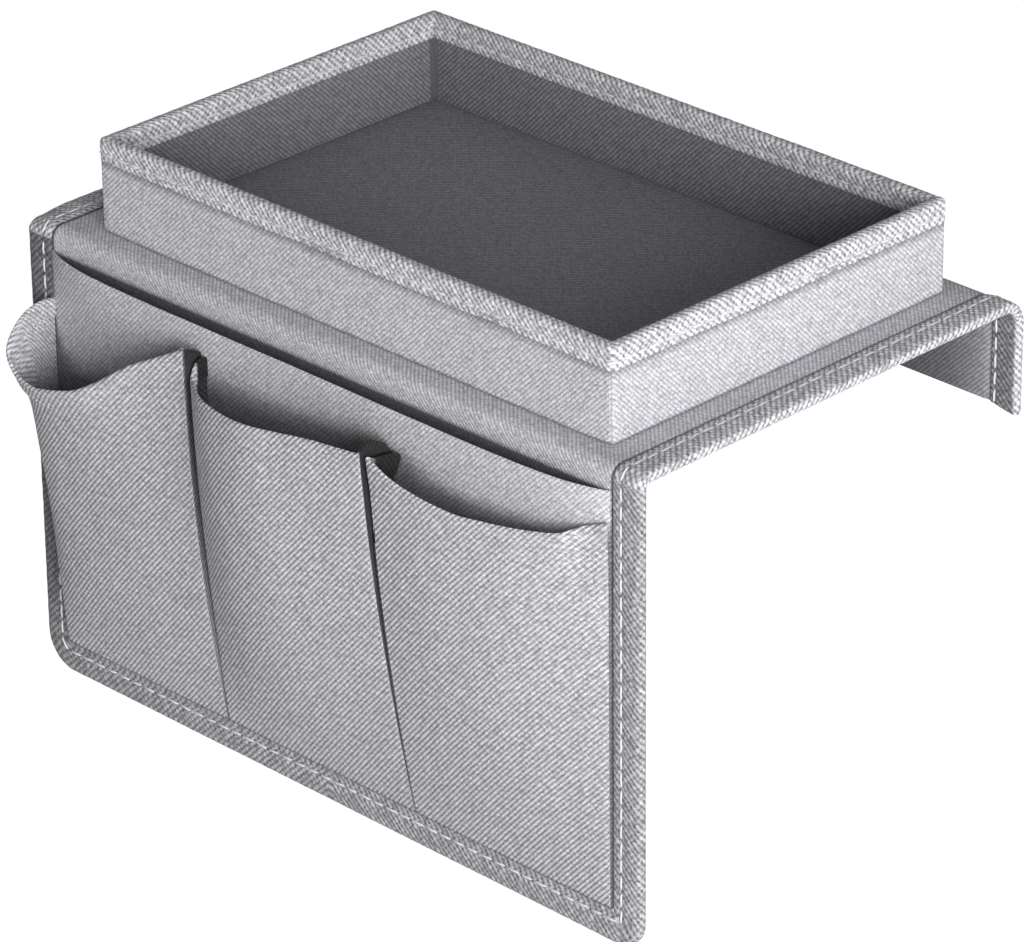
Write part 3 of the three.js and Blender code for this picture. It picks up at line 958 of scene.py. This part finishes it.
def hemmed(rows, thickness):
    """Adds a folded-in hem above the first row of a cloth, its rim. Rows go down, columns to the right."""
    rows = np.array(rows, float)
    rim, below = rows[0], rows[1]
    down = below - rim
    down /= np.linalg.norm(down, axis=1)[:, None]
    out = np.cross(down, np.gradient(rim, axis=0))
    out /= np.linalg.norm(out, axis=1)[:, None]
    half = thickness / 2
    turns = (
        (1, hem_depth), (1, hem_depth * 0.5), (1, half), (0.87, half * 0.5), (0.5, 0.0), (0.13, half * 0.5))
    folded = [rim - out * thickness * inward + down * lower for inward, lower in turns]
    return np.array([*folded, rim + down * half, *rows[1:]])


def inside_pockets(grid):
    """Painted shade on the magazine panel below the pockets' rims."""
    x, drop = grid[..., 0], top_surface - grid[..., 2]
    shade = np.zeros(x.shape)
    for front in (left_rim_front, middle_rim_front, right_rim_front):
        across, _, rims = np.array(front).T
        within = (x > across[0] - 3) & (x < across[-1] + 3)
        below = drop - np.interp(x, across, rims)
        shade = np.where(within, np.clip((below + 1) / 7, 0, 1) * 0.68, shade)
    return shade


def build_magazine_panel():
    drops = joined(spread(magazine_mouth_drop, 30, 3), spread(30, 175, 6), spread(175, 182.7, 1.2))
    reach = seam - 0.1
    xs = joined(spread(-reach, -seam + 4, 0.8), spread(-seam + 4, seam - 4, 4), spread(seam - 4, reach, 0.8))
    rows = []
    for drop in drops:
        line = []
        for x in xs:
            forward = magazine_stand_off(x, drop) + cloth_thickness - seam_dip(x, drop)
            forward += wobble(x, drop, 0, 38, 0.5, 7) * (1 - abs(x) / seam) ** 0.5
            line.append(on_flap(x, forward, drop))
        rows.append(line)
    grid = hemmed(rows, panel_hem_thickness)[::-1]
    # Painted shade where the panel goes under the bindings, and inside the pockets below their rims
    crease = np.full(grid.shape[:2], 0.9)
    crease[1:, 1:-1] = inside_pockets(grid)[1:, 1:-1]
    panel = cloth("magazine_panel", grid, cover_twill, pocket_thickness, crease=crease, soften=0)
    carry(panel, "front_flap", "cover_cloth", "magazine_pocket_panel")


def wall_shade(behind, rows, open_share):
    """Painted shade on a pocket's side wall in the narrow gap beside the next pocket, which closes towards
    the bottom. behind goes from 0 at its folded edge to 1. A little over 1 is as dark as the painted shade
    gets."""
    down = np.clip(np.linspace(-0.12, 1, rows), 0, 1)[::-1]
    return np.minimum(behind * 2.5, 1)[None, :] * (1.04 - 0.78 * down[:, None] ** (3.2 * open_share))


def close_gap(x, down):
    """Where a pocket's cloth beside a pleat goes as the gap there closes towards the bottom seam."""
    for pleat, open_share in ((left_pleat, left_pleat_open), (right_pleat, right_pleat_open)):
        beside = math.exp(-abs(x - pleat) / 5)
        closed = max(0.0, min(1.0, (down - open_share + 0.5) / 0.6))
        x += (pleat + math.copysign(0.3, x - pleat) - x) * beside * closed
    return x


def build_pocket(name, back, front, back_again, powers, flare, nodes):
    """A pocket's cloth. powers say how it closes towards the bottom seam, at its left and at its right, and
    flare how much of its left side's opening is only at the rim. One that doesn't go back again at its right
    ends under the binding, and lies flatter below its rim."""
    rim = curve_through([*back, *front, *back_again], 2.6, 14)
    along = run_lengths(rim)
    first, last = (along[np.argmin(np.linalg.norm(rim - end, axis=1))] for end in np.array(front)[[0, -1]])
    left, right = front[0][0], front[-1][0]
    share = np.clip((along - first) / (last - first), 0, 1)
    downs = joined(spread(0, 0.1, 0.012), spread(0.1, 0.94, 0.035), spread(0.94, 1, 0.012))
    lowest = bottom_seam_drop - 0.3
    rows = []
    for down in downs:
        line = []
        for (x0, forward0, drop0), part in zip(rim, share):
            drop = drop0 + (lowest - drop0) * down
            x = close_gap(x0 + (left + (right - left) * part - x0) * down, down)
            power = powers[0] + (powers[1] - powers[0]) * part
            flared = flare * (1 - part) * (1 + 0.95 * part)
            quick = math.exp(-((drop - drop0) / 12.5) ** 1.5)
            fall = flared * quick + (1 - flared) * (1 - down ** power)
            flat = magazine_stand_off(x, drop) + 2 * cloth_thickness + 0.3
            open_by = forward0 - (magazine_stand_off(x0, drop0) + 2 * cloth_thickness + 0.3)
            if not back_again:
                inside = max(0.0, seam - x0)
                settled = 0.345 * (inside - inside ** 2 / 172)
                open_by = settled + (open_by - settled) * quick
            forward = flat + open_by * fall
            free = math.sin(math.pi * part) * (1 - down ** 3)
            forward += wobble(x, drop, 0, 30, 0.9, 11) * free + wobble(x, drop, 0, 11, 0.18, 5) * free
            line.append(on_flap(x, forward - seam_dip(x, drop), drop))
        rows.append(line)
    grid = hemmed(rows, pocket_hem_thickness)[::-1]
    across = grid[..., 0] + np.minimum(along - first, 0) + np.maximum(along - last, 0)
    uv = np.stack([across, grid[..., 2]], axis=2) * MM
    # Painted shade along the bottom seam and on the side walls in the gaps at the pleats
    crease = np.zeros(grid.shape[:2])
    crease[0] = 0.8
    beside_left, beside_right = left > left_pleat, bool(back_again)
    for shaded, edge, behind in ((beside_right, right, along - last), (beside_left, left, first - along)):
        if shaded:
            open_share = left_pleat_open if edge < 0 else right_pleat_open
            crease = np.maximum(crease, wall_shade(np.clip(behind / 1.3, 0, 1), len(grid), open_share))
    piece = cloth(name, grid, pocket_twill, pocket_thickness, uv=uv, crease=crease, soften=0)
    carry(piece, "front_flap", "cover_cloth", *nodes)


build_magazine_panel()
build_pocket("left_pocket", left_rim_back, left_rim_front, left_rim_return, (1.3, 2.2), 0.35,
             ["left_pocket_front", "left_pleat"])
build_pocket("middle_pocket", middle_rim_back, middle_rim_front, middle_rim_return, (2.1, 1.2), 0.0,
             ["middle_pocket_front", "right_pleat"])
build_pocket("right_pocket", right_rim_back, right_rim_front, [], (1.4, 1.5), 0.0, ["right_pocket_front"])


# Stitching


def stitch_shape():
    """One stitch along X, a rounded thread that dips in at both ends."""
    bpy.ops.mesh.primitive_uv_sphere_add(segments=6, ring_count=6, radius=0.5)
    stitch = bpy.context.active_object
    for vertex in stitch.data.vertices:
        x, y, z = vertex.co
        lift = 0.5 * math.copysign(abs(2 * z) ** 0.5, z)
        width = math.sqrt(max(0.0, 1 - abs(2 * lift) ** 5))
        around = math.hypot(x, y) or 1.0
        sink = 0.55 * abs(2 * lift) ** 3
        vertex.co = (lift * stitch_length * MM, y / around * width * stitch_width / 2 * MM,
                     (x / around * width * stitch_width / 2 * 0.8 - sink) * MM)
    smooth(stitch, 60)
    stitch.data.materials.append(thread)
    return stitch


stitch_template = stitch_shape()


def stitch_row(name, part, line, start):
    """Stitches along a line of places, each its point and the direction that its surface faces."""
    points = [Vector(point) for point, _ in line]
    normals = [Vector(normal).normalized() for _, normal in line]
    lengths = run_lengths(points)

    def spot(value, places):
        number = min(max(int(np.searchsorted(lengths, value)) - 1, 0), len(points) - 2)
        share = (value - lengths[number]) / max(lengths[number + 1] - lengths[number], 1e-9)
        return places[number].lerp(places[number + 1], share)

    at = (-start) % stitch_pitch
    copies = []
    while at <= lengths[-1] + 1e-6:
        normal = spot(at, normals).normalized()
        along = (spot(min(at + 2, lengths[-1]), points) - spot(max(at - 2, 0), points)).normalized()
        along += normal.cross(along) * wobble(at, start, 1, 3, 0.12, 9)
        along = (along - normal * along.dot(normal)).normalized()
        turn = Matrix((along, normal.cross(along), normal)).transposed().to_4x4()
        stretch = Matrix.Diagonal((1 + wobble(at, 3, 3, 5, 0.12, 2), 1, 1, 1))
        copy = stitch_template.copy()
        copy.data = stitch_template.data.copy()
        copy.data.transform(Matrix.Translation(spot(at, points) * MM) @ turn @ stretch)
        bpy.context.scene.collection.objects.link(copy)
        copies.append(copy)
        at += stitch_pitch
    if not copies:
        return
    only(copies[0])
    for copy in copies:
        copy.select_set(True)
    if len(copies) > 1:
        bpy.ops.object.join()
    row = bpy.context.active_object
    row.name = name
    row.data.name = name
    carry(row, part)


def stitch_saddle():
    sides = (
        ("face", face_stitch_level, 1, face_stitch_inset), ("back", back_stitch_level, -1, back_stitch_inset))
    for word, level, outward, inset in sides:
        line = [((x, front_face - level, z), (0, -outward, 0)) for x, z in flap_edge(inset)
                if word == "face" or z < front_flap_top - 3]
        stitch_row(f"stitches_front_flap_{word}", "front_flap", line, 2.0)
    facing = {
        on_front_fold: lambda turn: math.pi - turn * math.pi / 2,
        on_top: lambda y: math.pi / 2,
        on_rear_fold: lambda turn: math.pi / 2 - turn * math.pi / 2,
        on_rear_flap: lambda z: 0.0,
    }
    for side, name in ((-1, "left"), (1, "right")):
        for word, level, outward, inset in sides:
            x = side * (half_length - inset)
            for part, run in saddle_runs(0.1, 4, rear_bottom + 1).items():
                line = []
                for place, value in run:
                    angle = facing[place](value)
                    normal = (0, outward * math.cos(angle), outward * math.sin(angle))
                    line.append(((x, *place(value, level)), normal))
                stitch_row(f"stitches_{name}_{part}_{word}", part, line, side_starts[part] + 3.0)


def stitch_tray():
    level = tray_rim - rim_stitch_drop
    for word, inset, sign in (("outside", -0.6, 1), ("inside", 4.72, -1)):
        edge = tray_edge(inset)
        line = []
        for index, (x, y) in enumerate(edge):
            before = edge[index - 1 if index else -2]
            after = edge[index + 1 if index + 1 < len(edge) else 1]
            normal = Vector((-(after[1] - before[1]), after[0] - before[0], 0))
            line.append(((x, y, level), normal * -sign))
        stitch_row(f"stitches_tray_{word}", "top", line, 1.0)


stitch_saddle()
stitch_tray()
bpy.data.objects.remove(stitch_template)


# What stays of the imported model

for name in ("top_board", "front_flap_board", "rear_flap_board", "tray_front_board", "tray_rear_board",
             "tray_left_board", "tray_right_board", "tray_base_board"):
    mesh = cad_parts[name].data
    mesh.materials.clear()
    mesh.materials.append(board)


# Floor, lights and camera


def seen_as_white(tree):
    """1 for what the camera sees, also in gloss and through glass, and 0 for the light on the object."""
    rays = node(tree, "ShaderNodeLightPath").outputs
    seen = calc(tree, "MAXIMUM", rays["Is Camera Ray"], rays["Is Glossy Ray"])
    return calc(tree, "MAXIMUM", seen, rays["Is Transmission Ray"])


def build_floor():
    bpy.ops.mesh.primitive_plane_add(size=floor_size, location=floor_place)
    floor = bpy.context.active_object
    floor.name = "studio_floor"
    bpy.ops.object.transform_apply(location=True, rotation=False, scale=False)
    material, tree, shader = new_finish("studio_floor")
    set_values(shader, Base_Color=(0.8, 0.8, 0.8, 1), Roughness=0.9, Specular_IOR_Level=0.0,
               Emission_Color=(1, 1, 1, 1))
    tree.links.new(calc(tree, "MULTIPLY", seen_as_white(tree), floor_glow), shader["Emission Strength"])
    floor.data.materials.append(material)


def build_world():
    world = bpy.data.worlds.new("studio")
    bpy.context.scene.world = world
    world.use_nodes = True
    tree = world.node_tree
    background = tree.nodes["Background"].inputs
    set_values(background, Color=(1, 1, 1, 1))
    strength = calc(tree, "MULTIPLY_ADD", seen_as_white(tree), 1 - sky_light, sky_light)
    tree.links.new(strength, background["Strength"])


def build_lamp():
    direction = Vector(lamp_target) - Vector(lamp_place)
    turn = direction.to_track_quat("-Z", "Y").to_euler()
    bpy.ops.object.light_add(type="AREA", location=lamp_place, rotation=turn)
    lamp = bpy.context.active_object
    lamp.name = "key"
    set_all(lamp.data, shape="DISK", size=lamp_size, energy=lamp_power)


def build_camera():
    azimuth, elevation = math.radians(camera_azimuth), math.radians(camera_elevation)
    back = Vector((math.sin(azimuth) * math.cos(elevation), -math.cos(azimuth) * math.cos(elevation),
                   math.sin(elevation)))
    right = (-back).cross(Vector((0, 0, 1))).normalized()
    up = right.cross(-back)
    roll = math.radians(camera_roll)
    rolled_right = right * math.cos(roll) + up * math.sin(roll)
    rolled_up = up * math.cos(roll) - right * math.sin(roll)
    place = (Vector(camera_target) + back * camera_distance) * MM
    bpy.ops.object.camera_add(location=place)
    camera = bpy.context.active_object
    camera.rotation_euler = Matrix((rolled_right, rolled_up, back)).transposed().to_euler()
    set_all(camera.data, sensor_width=sensor_width, lens=focal_pixels * sensor_width / photo_width,
            shift_x=(photo_width / 2 - principal_point[0]) / photo_width,
            shift_y=(principal_point[1] - photo_height / 2) / photo_width, clip_start=0.05, clip_end=60)
    bpy.context.scene.camera = camera


build_floor()
build_world()
build_lamp()
build_camera()
bpy.context.scene.view_settings.view_transform = "Standard"
